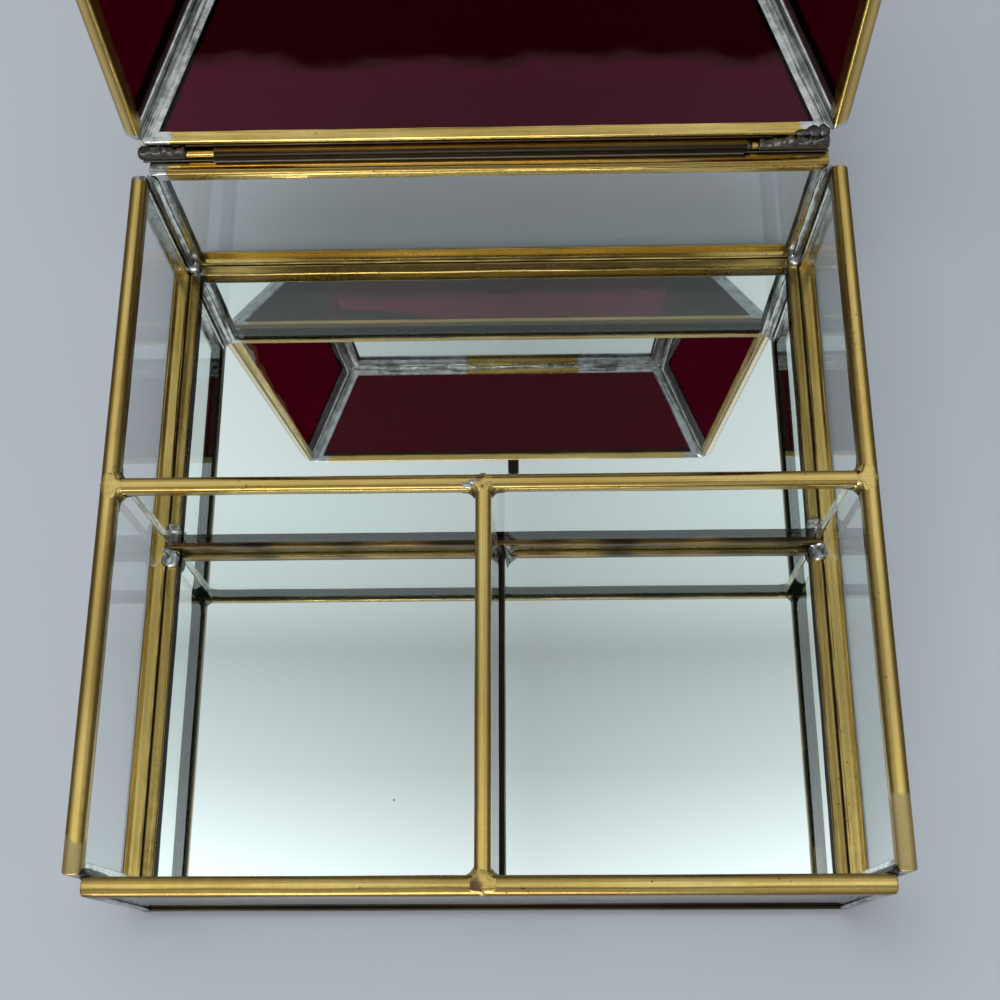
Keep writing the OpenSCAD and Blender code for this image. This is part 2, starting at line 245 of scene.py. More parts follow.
def ring_stations(pts, radius, pitch):
    """Stations along an outline with rounded corners. Each is a function of the inset distance."""
    n = len(pts)
    stations = []
    for i in range(n):
        e0 = (pts[i] - pts[i - 1]).normalized()
        e1 = (pts[(i + 1) % n] - pts[i]).normalized()
        na, nb = Vector((-e0.y, e0.x)), Vector((-e1.y, e1.x))

        def at_corner(d, share, i=i, na=na, nb=nb):
            centre = inset(pts, max(d, radius))[i]
            if d >= radius:
                return centre
            a0 = math.atan2(-na.y, -na.x)
            a1 = math.atan2(-nb.y, -nb.x)
            while a1 < a0:
                a1 += 2 * math.pi
            a = a0 + share * (a1 - a0)
            out = Vector((math.cos(a), math.sin(a)))
            return centre + (radius - d) * out

        steps = 6
        for k in range(steps + 1):
            stations.append(lambda d, f=at_corner, s=k / steps: f(d, s))
        start = stations[-1]
        j = (i + 1) % n

        def side_end(d, j=j, nb=nb):
            centre = inset(pts, max(d, radius))[j]
            return centre if d >= radius else centre - (radius - d) * nb

        count = max(2, int((pts[j] - pts[i]).length / pitch))
        for k in range(1, count):
            stations.append(lambda d, a=start, b=side_end, t=k / count: a(d).lerp(b(d), t))
    return stations


def grain(q):
    """Grainy patches of the side rims, at their front ends."""
    end = -82.5 if q.x < 0 else -74.0
    before = 1 - ramp(q.y + 1.2 * wobble(q, 4, 77), end - 0.8, end + 0.8)
    return before * (abs(q.x) > 90) * ramp(q.z, 48, 49.5)


def channel_ring(name, pts, w, depth, place, body, nodes, mats, tin, age_and_shade, edge=1.5, bulge=0.0,
                 radius=0.5, rough=1.0, seed=1):
    """A channel folded round a pane's outline, hand-bent: its faces wander a little inwards."""
    pts = [Vector(p) for p in pts]
    section = channel_profile(w, depth, edge, bulge)
    hollow = section[-2][0]
    stations = ring_stations(pts, radius, 2.6)
    bm = bmesh.new()
    lay = {k: layer(bm, k) for k in ("tin", "age_and_shade", "crown", "lip", "run", "cross", "slot", "grain")}
    rings = []
    run = 17.0 * seed
    last = stations[0](0)
    for at in stations:
        ring = []
        run += (at(0) - last).length
        last = at(0)
        for d, z, c, l in section:
            p = at(d)
            q = place @ Vector((p.x, p.y, z))
            sag = 0.10 * (1 + wobble(q, 27, seed)) + 0.03 * (1 + wobble(q, 6, seed + 1))
            d2 = d + rough * sag * c * 0.9
            z2 = z + rough * sag * 0.7 * (1 - c) * (1 if z < w / 2 else -1) * (1 if d > 0.8 else 0)
            if l > 0.5:
                d2 -= rough * (0.16 * (1 + wobble(q, 19, seed + 2)) + 0.04 * wobble(q, 5, seed))
            p = at(d2)
            q = place @ Vector((p.x, p.y, z2))
            v = bm.verts.new(q)
            v[lay["crown"]] = c
            v[lay["lip"]] = l
            v[lay["tin"]] = tin(q)
            v[lay["age_and_shade"]] = age_and_shade(q)
            v[lay["run"]] = run
            v[lay["cross"]] = z - d if z < w / 2 else z + d
            # Painted shade: the slot's hollow on the box's upper frames is marked to be painted near black.
            inside = 1.0 if d == hollow else 0.5 if d == depth else 0.0
            v[lay["slot"]] = inside * (body == "box" and q.z > 30)
            v[lay["grain"]] = grain(q) if body == "box" else 0.0
            ring.append(v)
        rings.append(ring)
    for a, b in zip(rings, rings[1:] + rings[:1]):
        join_rings(bm, a, b)
    bmesh.ops.remove_doubles(bm, verts=bm.verts, dist=0.004)
    bmesh.ops.dissolve_degenerate(bm, edges=bm.edges, dist=0.003)
    finish_mesh(name, bm, body, nodes, mats)


def channel_bar(name, length, place, body, nodes, mats, age_and_shade, seed=1):
    """A straight length of channel, with its back up and its slot down, and closed dark ends."""
    section = channel_profile(DIVIDER_W, CHANNEL_D, 1.4, 0.0)
    hollow = section[-2][0]
    bm = bmesh.new()
    lay = {k: layer(bm, k) for k in ("age_and_shade", "crown", "lip", "run", "cross", "slot")}
    count = int(length / 2.4)
    rings = []
    for i in range(count + 1):
        x = -length / 2 + length * i / count
        ring = []
        for d, z, c, l in section:
            q = place @ Vector((x, z - DIVIDER_W / 2, -d))
            sag = 0.10 * (1 + wobble(q, 24, seed)) + 0.03 * (1 + wobble(q, 6, seed + 1))
            d2 = d + sag * c * 0.9
            side = 1 if z < DIVIDER_W / 2 else -1
            z2 = z + sag * 0.7 * (1 - c) * side
            if l > 0.5:
                d2 -= 0.14 * (1 + wobble(q, 19, seed + 2))
            v = bm.verts.new(place @ Vector((x, z2 - DIVIDER_W / 2, -d2)))
            v[lay["crown"]] = c
            v[lay["lip"]] = l
            v[lay["age_and_shade"]] = age_and_shade(q)
            v[lay["run"]] = x + 17.0 * seed
            v[lay["cross"]] = z - d if z < DIVIDER_W / 2 else z + d
            # Painted shade: the slot's hollow on the top channels is marked to be painted near black.
            v[lay["slot"]] = (1.0 if d == hollow else 0.5 if d == CHANNEL_D else 0.0) * (q.z > 30)
            ring.append(v)
        rings.append(ring)
    strip_faces(bm, rings)
    finish_mesh(name, bm, body, nodes, mats)


def seam(bm, a, b, inwards, half, inner=2.1, outer=2.0, seed=1, darkness=0.3, lift=0.6):
    """Solder along the corner line from a to b: concave between the two flanges, round outside."""
    a, b = Vector(a), Vector(b)
    along = (b - a).normalized()
    inwards = Vector(inwards).normalized()
    across = along.cross(inwards)
    length = (b - a).length
    count = max(5, int(length / 1.1))
    tin, age_and_shade, run, cross = (layer(bm, k) for k in ("tin", "age_and_shade", "run", "cross"))
    rings = []
    for i in range(count + 1):
        t = i / count
        p = a.lerp(b, t)
        near = min(t, 1 - t) * length
        end = 0.45 + 0.55 * ramp(near, 0, 1.6)
        ring = []
        for k in range(28):
            th = 2 * math.pi * k / 28
            f = abs(math.atan2(math.sin(th), math.cos(th)))
            d = math.cos(th) * inwards + math.sin(th) * across
            if f <= half:
                grow = 1 + 0.16 * wobble(p, 8, seed) + 0.08 * wobble(p + 3 * d, 2.6, seed + 2)
                r = inner * grow * math.cos(half) / math.cos(f) * (1 - 0.2 * (1 - (f / half) ** 2))
                r = max(r, 0.4)
            elif f <= half + math.pi / 2:
                r = 0.55
            else:
                r = outer * (0.97 + 0.05 * wobble(p, 7, seed + 4) + 0.04 * wobble(p + 3 * d, 2.2, seed))
            v = bm.verts.new(p + r * end * d)
            v[tin] = 1.0
            v[age_and_shade] = darkness + lift * max(0.0, wobble(p + 2 * d, 12, seed + 6))
            v[run] = 1.6 * t * length
            v[cross] = 3.5 * math.sin(th)
            ring.append(v)
        rings.append(ring)
    strip_faces(bm, rings)


def join(bm, part):
    """Adds the mesh part to bm."""
    mesh = bpy.data.meshes.new("part")
    part.to_mesh(mesh)
    part.free()
    bm.from_mesh(mesh)
    bpy.data.meshes.remove(mesh)


def lump(bm, centre, radii, seed=1, rough=0.16, darkness=0.4, turn=0.0):
    """A rough drop of solder."""
    tin, age_and_shade = layer(bm, "tin"), layer(bm, "age_and_shade")
    made = bmesh.ops.create_icosphere(bm, subdivisions=3, radius=1.0)["verts"]
    spin = Matrix.Rotation(math.radians(turn), 3, "Z")
    for v in made:
        n = v.co.copy()
        grow = 1 + rough * (wobble(n * 10, 9, seed) + 0.5 * wobble(n * 10, 3.7, seed + 1))
        q = spin @ Vector(n[i] * radii[i] * grow for i in range(3))
        v.co = Vector(centre) + q
        v[tin] = 1.0
        v[age_and_shade] = darkness + 0.5 * wobble(v.co, 4, seed)


def crust(bm, x0, x1, toward, reach, base=1.38, seed=1, darkness=0.55):
    """Rough solder round the hinge's line from x0 to x1, swollen to the angle toward in Y and Z."""
    tin, age_and_shade = layer(bm, "tin"), layer(bm, "age_and_shade")
    count = int((x1 - x0) / 0.3)
    rings = []
    for i in range(count + 1):
        t = i / count
        x = x0 + (x1 - x0) * t
        end = math.sqrt(max(0.0, 1 - (1 - ramp(min(t, 1 - t) * (x1 - x0), 0, 1.2)) ** 2)) * 0.5 + 0.5
        ring = []
        for k in range(40):
            th = 2 * math.pi * k / 40
            d = spoke(th)
            q = Vector((x, 0, 0)) + 1.6 * d
            swell = max(0.0, math.cos(th - toward)) ** 2
            r = base + 0.12 * wobble(q, 1.5, seed)
            r += swell * reach(x) * (0.75 + 0.6 * wobble(q, 2.6, seed + 1) + 0.35 * wobble(q, 0.8, seed + 2))
            r += (0.10 + 0.12 * swell) * abs(wobble(q, 0.45, seed + 3))
            v = bm.verts.new(Vector((x, HINGE_Y, HINGE_Z)) + r * end * d)
            v[tin] = 1.0
            v[age_and_shade] = darkness + 0.5 * wobble(q, 3, seed + 5)
            ring.append(v)
        rings.append(ring)
    strip_faces(bm, rings)


# ---- Materials ---------------------------------------------------------------------------

class Nodes:
    """Short words for building a material's node tree."""

    def __init__(self, name):
        self.mat = bpy.data.materials.new(name)
        self.mat.use_nodes = True
        self.tree = self.mat.node_tree
        self.tree.nodes.clear()
        self.out = self.new("ShaderNodeOutputMaterial")
        coordinates = self.new("ShaderNodeTexCoord")
        self.place = coordinates.outputs["Object"]

    def new(self, kind, **values):
        node = self.tree.nodes.new(kind)
        for k, v in values.items():
            setattr(node, k, v)
        return node

    def link(self, a, b):
        self.tree.links.new(a, b)

    def put(self, socket, value):
        if isinstance(value, bpy.types.NodeSocket):
            self.link(value, socket)
        else:
            socket.default_value = value

    def scaled(self, x, y, z):
        node = self.new("ShaderNodeMapping")
        self.link(self.place, node.inputs["Vector"])
        node.inputs["Scale"].default_value = (x, y, z)
        return node.outputs[0]

    def noise(self, scale, detail, rough, vector=None):
        node = self.new("ShaderNodeTexNoise")
        self.link(vector or self.place, node.inputs["Vector"])
        node.inputs["Scale"].default_value = scale
        node.inputs["Detail"].default_value = detail
        node.inputs["Roughness"].default_value = rough
        node.inputs["Distortion"].default_value = 0.0
        return node.outputs["Fac"]

    def specks(self, scale, size):
        """1 inside small round specks scattered at that scale, 0 outside."""
        node = self.new("ShaderNodeTexVoronoi")
        self.link(self.place, node.inputs["Vector"])
        node.inputs["Scale"].default_value = scale
        return self.range(node.outputs["Distance"], size, size * 0.6)

    def range(self, value, a, b, c=0.0, d=1.0):
        node = self.new("ShaderNodeMapRange")
        node.interpolation_type = "SMOOTHSTEP"
        self.put(node.inputs["Value"], value)
        for socket, v in zip(("From Min", "From Max", "To Min", "To Max"), (a, b, c, d)):
            node.inputs[socket].default_value = v
        return node.outputs[0]

    def maths(self, operation, a, b):
        node = self.new("ShaderNodeMath", operation=operation)
        self.put(node.inputs[0], a)
        self.put(node.inputs[1], b)
        return node.outputs[0]

    def plus(self, a, b):
        return self.maths("ADD", a, b)

    def minus(self, a, b):
        return self.maths("SUBTRACT", a, b)

    def times(self, a, b):
        return self.maths("MULTIPLY", a, b)

    def mix(self, factor, a, b):
        node = self.new("ShaderNodeMix", data_type="RGBA")
        self.put(node.inputs[0], factor)
        for socket, value in ((node.inputs[6], a), (node.inputs[7], b)):
            self.put(socket, value if isinstance(value, bpy.types.NodeSocket) else (*value, 1))
        return node.outputs[2]

    def blend(self, factor, a, b):
        node = self.new("ShaderNodeMix", data_type="FLOAT")
        self.put(node.inputs[0], factor)
        self.put(node.inputs[2], a)
        self.put(node.inputs[3], b)
        return node.outputs[0]

    def attribute(self, name):
        return self.new("ShaderNodeAttribute", attribute_name=name).outputs["Fac"]

    def axis(self, letter):
        node = self.new("ShaderNodeSeparateXYZ")
        self.link(self.place, node.inputs[0])
        return node.outputs[letter]

    def bump(self, height, strength, distance):
        node = self.new("ShaderNodeBump")
        self.link(height, node.inputs["Height"])
        node.inputs["Strength"].default_value = strength
        node.inputs["Distance"].default_value = distance
        return node.outputs[0]

    def principled(self, **values):
        node = self.new("ShaderNodeBsdfPrincipled")
        for k, v in values.items():
            self.put(node.inputs[k.replace("_", " ")], v)
        self.link(node.outputs[0], self.out.inputs["Surface"])


def metal(name, tinned=None, bumps=0.35, dark=0.0):
    """Folded brass, bright along its crown and brown beside it: partly patina and wear, and partly a painted
    highlight on the crown with painted shade down its sides. It turns to tinned solder where the tin share of
    the mesh says so, or everywhere with tinned=1."""
    n = Nodes(name)
    age_and_shade = n.plus(n.attribute("age_and_shade"), dark)
    crown = n.attribute("crown")
    lip = n.attribute("lip")
    flow = n.new("ShaderNodeCombineXYZ")
    n.link(n.times(n.attribute("run"), 0.022), flow.inputs[0])
    n.link(n.times(n.attribute("cross"), 0.9), flow.inputs[1])
    streak = n.noise(1.0, 3, 0.6, vector=flow.outputs[0])
    fine_streak = n.noise(2.4, 4, 0.6, vector=flow.outputs[0])
    large = n.noise(24, 2, 0.5)
    small = n.noise(330, 5, 0.62)
    fine = n.noise(1900, 3, 0.6)

    # How far the patina has grown: less along the crown, partly from handling and partly as a painted
    # highlight, and more in the folds
    crown_wear_and_highlight = n.times(n.range(crown, 0.15, 0.95), 0.42)
    grown = n.plus(n.times(age_and_shade, 0.55), n.times(large, 0.26))
    grown = n.plus(grown, n.times(streak, 0.50))
    grown = n.plus(grown, n.times(small, 0.10))
    grown = n.minus(grown, crown_wear_and_highlight)
    patina = n.range(grown, 0.36, 0.98)
    colour = n.mix(n.range(large, 0.3, 0.7), (0.80, 0.575, 0.20), (0.70, 0.48, 0.13))
    # Painted shade: a darker band down each side of the crown, between its edges and its top.
    crown_side_shade = n.times(n.range(crown, 0.02, 0.12), n.range(crown, 0.92, 0.28))
    crown_side_shade = n.times(crown_side_shade, n.range(small, 0.2, 0.8, 0.75, 1.0))
    colour = n.mix(n.times(crown_side_shade, 0.9), colour, (0.27, 0.175, 0.048))
    colour = n.mix(n.range(fine_streak, 0.45, 0.75, 0, 0.4), colour, (0.42, 0.29, 0.065))
    colour = n.mix(patina, colour, (0.20, 0.125, 0.038))
    colour = n.mix(n.range(grown, 0.95, 1.35), colour, (0.020, 0.015, 0.010))
    seam_line = n.times(n.range(lip, 0.6, 1.0), n.range(fine_streak, 0.40, 0.62))
    colour = n.mix(n.times(seam_line, 0.6), colour, (0.04, 0.028, 0.014))
    pits = n.times(n.specks(620, 0.16), n.range(n.noise(60, 2, 0.5), 0.55, 0.63))
    colour = n.mix(n.times(pits, 0.85), colour, (0.03, 0.02, 0.012))
    colour = n.mix(n.range(n.attribute("mark"), 0.1, 1.0, 0, 0.8), colour, (0.10, 0.05, 0.055))
    # Painted shade: near black in the channels' slots and under the rim webs.
    colour = n.mix(n.range(n.attribute("slot"), 0.1, 0.6), colour, (0.010, 0.020, 0.014))
    grain_share = n.range(n.attribute("grain"), 0.3, 0.7)
    speckled = n.mix(n.range(n.noise(3200, 3, 0.7), 0.35, 0.65), (0.50, 0.375, 0.16), (0.63, 0.485, 0.23))
    colour = n.mix(n.times(grain_share, 0.85), colour, speckled)
    rough = n.plus(n.blend(patina, 0.11, 0.30), n.range(small, 0.35, 0.7, 0, 0.06))
    rough = n.plus(rough, n.times(grain_share, 0.22))

    # Tin: silver-grey, brushed along, and blackened in patches
    stain = n.times(n.noise(95, 5, 0.68), 0.45)
    stain = n.plus(stain, n.times(n.range(streak, 0.25, 0.75), 0.42))
    stain = n.plus(stain, n.times(small, 0.35))
    stain = n.plus(stain, n.times(age_and_shade, 0.36))
    black = n.range(stain, 0.74, 1.02)
    tin_colour = n.mix(n.range(small, 0.35, 0.7), (0.68, 0.68, 0.67), (0.42, 0.42, 0.415))
    tin_colour = n.mix(black, tin_colour, (0.085, 0.08, 0.075))
    tin_rough = n.blend(black, 0.20, 0.34)
    if tinned is None:
        edge = n.plus(n.attribute("tin"), n.range(small, 0.3, 0.7, -0.22, 0.22))
        share = n.range(edge, 0.40, 0.60)
    else:
        share = float(tinned)
    colour = n.mix(share, colour, tin_colour)
    rough = n.blend(share, rough, tin_rough)
    brass_height = n.plus(n.times(small, 0.16), n.times(fine, 0.04))
    brass_height = n.plus(brass_height, n.times(fine_streak, 0.04))
    tin_height = n.times(n.noise(260, 3, 0.55), 0.55)
    tin_height = n.plus(tin_height, n.times(fine, 0.12))
    height = n.blend(share, brass_height, tin_height)
    n.principled(Base_Color=colour, Roughness=rough, Metallic=1.0, Normal=n.bump(height, bumps, 0.0003))
    return n.mat


def glass(name, tint, ior=1.5, wave=0.0, painted_shade_tint=None):
    """A thin pane: what is behind shows through its tint, unbent, and it mirrors by Fresnel.

    The last argument: a darker tint, painted past a wavy line across the pane as shade, where the pane's
    Fresnel reflection is turned down as well; the line follows the edge of a reflection."""
    n = Nodes(name)
    shine = 1.0
    if painted_shade_tint:
        # Painted shade: past a wavy line in the object's Y the pane takes the darker tint and mirrors less.
        line = n.plus(n.axis("Y"), n.times(n.noise(55, 3, 0.6), 0.010))
        painted_shade_share = n.range(line, 0.1185, 0.1215)
        tint = n.mix(painted_shade_share, tint, painted_shade_tint)
        shine = n.minus(1.0, n.times(painted_shade_share, 0.93))
    mirror = n.new("ShaderNodeBsdfGlossy")
    mirror.inputs["Roughness"].default_value = 0.0
    clear = n.new("ShaderNodeBsdfTransparent")
    n.put(clear.inputs[0], tint if isinstance(tint, bpy.types.NodeSocket) else (*tint, 1))
    fresnel = n.new("ShaderNodeFresnel")
    fresnel.inputs["IOR"].default_value = ior
    if wave:
        ripple = n.plus(n.noise(22, 2, 0.5), n.times(n.noise(90, 2, 0.5), 0.06))
        normal = n.bump(ripple, 1.0, wave)
        n.link(normal, mirror.inputs["Normal"])
        n.link(normal, fresnel.inputs["Normal"])
    entering = n.minus(1.0, n.new("ShaderNodeNewGeometry").outputs["Backfacing"])
    mix = n.new("ShaderNodeMixShader")
    n.link(n.times(n.times(fresnel.outputs[0], entering), shine), mix.inputs[0])
    n.link(clear.outputs[0], mix.inputs[1])
    n.link(mirror.outputs[0], mix.inputs[2])
    n.link(mix.outputs[0], n.out.inputs["Surface"])
    return n.mat


def silver():
    """The mirror's silvering: cloudy, with a few dark specks."""
    n = Nodes("mirror_silver")
    cloud = n.noise(14, 3, 0.5)
    colour = n.mix(cloud, (0.89, 0.925, 0.925), (0.92, 0.945, 0.94))
    colour = n.mix(n.specks(36, 0.014), colour, (0.25, 0.27, 0.27))
    n.principled(Base_Color=colour, Roughness=0.015, Metallic=1.0)
    return n.mat


def edge_glass():
    """Raw edges of clear panes: painted pale gold and near-white, a painted reflection of the brass channels
    with painted glints, crossed by dark lines.
    """
    n = Nodes("glass_edge")
    cloud = n.noise(300, 3, 0.6)
    line = n.noise(1.0, 3, 0.6, vector=n.scaled(900, 900, 60))
    # Painted reflection and glints: brass gold and near-white patches over the raw edge.
    colour = n.mix(n.range(cloud, 0.35, 0.6), (0.66, 0.51, 0.19), (0.97, 0.92, 0.72))
    colour = n.mix(n.range(line, 0.50, 0.58), colour, (0.10, 0.07, 0.03))
    n.principled(Base_Color=colour, Roughness=0.18, Metallic=0.5, Coat_Weight=0.5)
    return n.mat


RIPPLE = 0.0004  # bump distance of the ruby panes' waves, in metres
BRASS = metal("brass_folded")
SOLDER = metal("solder_lumps", tinned=1.0, bumps=0.5)
TUBE = metal("brass_tube", tinned=0.0, dark=0.4)
# Near-black brass for the CAD pieces left as they are, the lift tab among them: painted shade for the tab's
# shaded side.
BLACK_BRASS = metal("brass_painted_shade", tinned=0.0, dark=2.4)
POOLED = metal("brass_pooled", tinned=0.0, bumps=0.8, dark=0.15)
FLUX = metal("solder_blackened", tinned=1.0, bumps=0.9, dark=0.9)
CLEAR = glass("clear_glass", (0.955, 0.975, 0.968))
RUBY = glass("ruby_glass", (0.24, 0.004, 0.07), ior=1.29, wave=RIPPLE)
# The rear ruby pane, with painted shade past a wavy line.
RUBY_REAR = glass("ruby_glass_rear", (0.37, 0.01, 0.15), ior=1.31, wave=RIPPLE, painted_shade_tint=(0.19, 0.0, 0.05))
SILVER = silver()
EDGE_GLASS = edge_glass()


# ---- Tin, patina and painted shade over the frames ---------------------------------------

def wall_tin(q):
    """Tinned up the corners of the box, and brass along the rim and the floor."""
    corner = min(abs(q.x), abs(q.y))
    sides = ramp(corner, 84.0, 86.0) * ramp(q.z, 1.5, 6) * (1 - ramp(q.z, 46.5, 51.0))
    patch = ramp(-q.x, 84.2, 86.2) * ramp(q.y, 89.0, 90.5) * ramp(q.z, 45, 50)
    return max(sides, patch)


def wall_age_and_shade(q):
    """Little low down inside; more at the rim, outside and in the front corners, most at the foot, where
    patina and a painted contact shadow against the floor darken it.
    """
    # Painted contact shadow with patina: the front face's foot goes near black.
    if q.y < -93.9 and q.z < 4.5:
        return 2.6
    rim = ramp(q.z, 40, 50)
    outside = ramp(max(abs(q.x), abs(q.y)), 94.5, 94.9)
    sides = 0.3 * ramp(q.y, -75, -25) * (1 - ramp(q.y, 88, 90)) * rim
    corner = ramp(min(abs(q.x), abs(q.y)), 87.5, 90)
    inner = 1.3 * ramp(-q.y, 81, 85) * corner * (1 - ramp(q.z, 47.5, 49))
    # The outer foot: patina with a painted contact shadow against the floor.
    foot = 1 - ramp(q.z, 2.8, 4.0)
    return 0.15 + 0.33 * rim + sides + (1 - outside) * inner + outside * (0.4 + 1.3 * foot)


def floor_tin(q):
    """Tin only in the floor frame's corners."""
    return 0.75 * ramp(min(abs(q.x), abs(q.y)), 84, 88)


UNTURN = LID_PLACE.inverted()


def lid_tin(q):
    """Tinned up the hips and round the top, but for a length of brass in the top's front and rear."""
    p = UNTURN @ q
    foot = Vector((math.copysign(LID_HALF_W, p.x), math.copysign(LID_HALF_D, p.y), 0))
    head = Vector((math.copysign(TOP_HALF_W, p.x), math.copysign(TOP_HALF_D, p.y), LID_RISE))
    off = (p - foot).cross((head - foot).normalized()).length
    on_end = abs(p.y) - LID_HALF_D + END_RUN * p.z / LID_RISE > -1.5
    near_hip = (1 - ramp(off, 6.2, 7.6)) * (1.0 if on_end else ramp(p.z, 1.2, 3.2))
    near_top = ramp(p.z, LID_RISE - 5.5, LID_RISE - 3.6)
    bare = ramp(p.x, -19, -17) * (1 - ramp(p.x, 32, 34)) if abs(p.y) > TOP_HALF_D - 6 else 0
    return max(near_hip * (1 - near_top * bare), near_top * (1 - bare))


def lid_age(q):
    """Darker up the slopes than along the rim."""
    p = UNTURN @ q
    return 0.15 + 0.35 * ramp(p.z, 8, 30)


# ---- Frames ------------------------------------------------------------------------------

# Outlines of the panes with their channels: a wall, a flat pane, and a slope of the lid

def upright(w, h):
    return [(-w / 2, 0), (w / 2, 0), (w / 2, h), (-w / 2, h)]


def centred(w, d):
    return [(-w / 2, -d / 2), (w / 2, -d / 2), (w / 2, d / 2), (-w / 2, d / 2)]


def sloping(half, top, run):
    slant = math.hypot(LID_RISE, run)
    return [(-half, 0), (half, 0), (top, slant), (-top, slant)]


for i, (side, turn) in enumerate((("front", 0), ("rear", 180), ("left", -90), ("right", 90))):
    channel_ring(side + "_rim", upright(INNER, BOX_H), CHANNEL_W, CHANNEL_D, wall_place(turn), "box",
                 [side + "_frame"], [BRASS], wall_tin, wall_age_and_shade, seed=3 + i)
    outline = (sloping(LID_HALF_W, TOP_HALF_W, END_RUN) if turn in (0, 180)
               else sloping(LID_HALF_D, TOP_HALF_D, SIDE_RUN))
    channel_ring("lid_" + side + "_edging", outline, CHANNEL_W, CHANNEL_D, slope_place(turn), "lid",
                 ["lid_" + side + "_frame"], [BRASS], lid_tin, lid_age, edge=0.9, bulge=0.12,
                 radius=0.9, rough=0.6, seed=13 + i)

channel_ring("floor_edging", centred(FLOOR, FLOOR), FLOOR_W, FLOOR_D, Matrix.Identity(4), "box",
             ["floor_frame"], [BRASS], floor_tin, lambda q: 0.42, edge=0.9, bulge=0.1, seed=9)
channel_ring("lid_top_edging", centred(2 * TOP_HALF_W, 2 * TOP_HALF_D), CHANNEL_W, CHANNEL_D, TOP_PLACE,
             "lid", ["lid_top_frame"], [BRASS], lid_tin, lid_age, edge=0.9, bulge=0.12, radius=0.9,
             rough=0.6, seed=19)

FLIP = Matrix.Rotation(math.pi, 4, "X")
channel_bar("cross_top_edging", CROSS_L, CROSS_PLACE, "box", ["cross_divider_top_channel"], [BRASS],
            lambda q: 0.35, seed=31)
channel_bar("cross_bottom_edging", CROSS_L, CROSS_PLACE @ moved(0, 0, -DIVIDER_H) @ FLIP, "box",
            ["cross_divider_bottom_channel"], [BRASS],
            lambda q: 1.2 + 0.9 * ramp(q.y, CROSS_Y, CROSS_Y + 1) + 0.6 * wobble(q, 11, 61), seed=32)
channel_bar("mid_top_edging", MID_L, MID_PLACE, "box", ["mid_divider_top_channel"], [BRASS],
            lambda q: 0.35, seed=33)
channel_bar("mid_bottom_edging", MID_L, MID_PLACE @ moved(0, 0, -MID_H) @ FLIP, "box",
            ["mid_divider_bottom_channel"], [BRASS], lambda q: 1.9, seed=34)


# ---- Solder ------------------------------------------------------------------------------

def solder(name, nodes, body, fill, material=SOLDER):
    """A piece whose mesh is made by fill, which takes a bmesh."""
    bm = bmesh.new()
    fill(bm)
    finish_mesh(name, bm, body, nodes, [material], angle=60)


def corner_seam(sx, sy, seed):
    """A corner of the box: the bead inside, a lump at its foot and the nub in the outer notch."""
    def fill(bm):
        x, y = sx * INNER / 2, sy * INNER / 2
        seam(bm, (x, y, 0.7), (x, y, BOX_H - 0.8), (-sx, -sy, 0), math.pi / 4, inner=2.2, outer=1.0,
             seed=seed, darkness=1.2 if sy < 0 else 0.6)
        lump(bm, (x - sx * 1.2, y - sy * 1.2, FLOOR_W + 0.7), (2.3, 2.0, 1.3), seed=seed, darkness=0.5)
        lump(bm, (x + sx * 0.9, y + sy * 0.9, 2.4), (1.3, 1.3, 1.9), seed=seed + 3, darkness=0.2)
    return fill


def hip_seam(sx, sy, seed):
    """A hip of the lid: solder between two slopes, from the rim to the top."""
    def fill(bm):
        foot = Vector((sx * LID_HALF_W, sy * LID_HALF_D, 0))
        head = Vector((sx * TOP_HALF_W, sy * TOP_HALF_D, LID_RISE))
        up = (head - foot).normalized()
        cos_s, cos_e = math.cos(SIDE_SLOPE), math.cos(END_SLOPE)
        inwards = -Vector((sx * math.sin(SIDE_SLOPE), sy * math.sin(END_SLOPE), cos_s + cos_e))
        half = math.pi / 2 - math.acos(cos_s * cos_e) / 2
        seam(bm, foot + 1.2 * up, head - 0.8 * up, inwards, half, inner=1.8, seed=seed, darkness=0.6)
        bm.transform(LID_PLACE)
    return fill


def top_seams(bm):
    """The four seams round the lid's flat top."""
    for i, turn in enumerate((0, 90, 180, 270)):
        end = turn in (0, 180)
        slope = END_SLOPE if end else SIDE_SLOPE
        a, b = (TOP_HALF_W, TOP_HALF_D) if end else (TOP_HALF_D, TOP_HALF_W)
        part = bmesh.new()
        seam(part, (-a + 0.6, -b, 0), (a - 0.6, -b, 0), (0, math.cos(slope / 2), -math.sin(slope / 2)),
             math.pi / 2 - slope / 2, inner=1.7, outer=1.95, seed=50 + i, darkness=0.6)
        part.transform(TOP_PLACE @ turn_z(turn))
        join(bm, part)


for i, (sx, sy, word) in enumerate(((-1, -1, "front_left"), (1, -1, "front_right"),
                                    (-1, 1, "rear_left"), (1, 1, "rear_right"))):
    solder(word + "_seam", [word + "_solder"], "box", corner_seam(sx, sy, 60 + i))
    solder("lid_" + word + "_hip_seam", ["lid_" + word + "_hip_solder"], "lid", hip_seam(sx, sy, 70 + i))
solder("lid_top_seams", ["lid_top_solder"], "lid", top_seams)


def ends_of_dividers():
    """Corner lines at the dividers' ends: a point, the ways along and aside, and whether it is mid's."""
    half = DIVIDER_W / 2
    for sx in (-1, 1):
        for sy in (-1, 1):
            yield (Vector((sx * INNER / 2, CROSS_Y + sy * half, 0)), Vector((-sx, 0, 0)),
                   Vector((0, sy, 0)), False)
    for sx in (-1, 1):
        aside = Vector((sx, 0, 0))
        yield Vector((MID_X + sx * half, CROSS_Y - half, 0)), Vector((0, -1, 0)), aside, True
        yield Vector((MID_X + sx * half, -INNER / 2, 0)), Vector((0, 1, 0)), aside, True


def rim_fillets(bm):
    """Solder in the corners below the webs."""
    for i, (p, along, aside, mid) in enumerate(ends_of_dividers()):
        seam(bm, p + Vector((0, 0, BOX_H - 5.2)), p + Vector((0, 0, BOX_H - 1.3)), along + aside, math.pi / 4,
             inner=1.7, outer=0.5, seed=80 + i, darkness=0.7, lift=0.8)


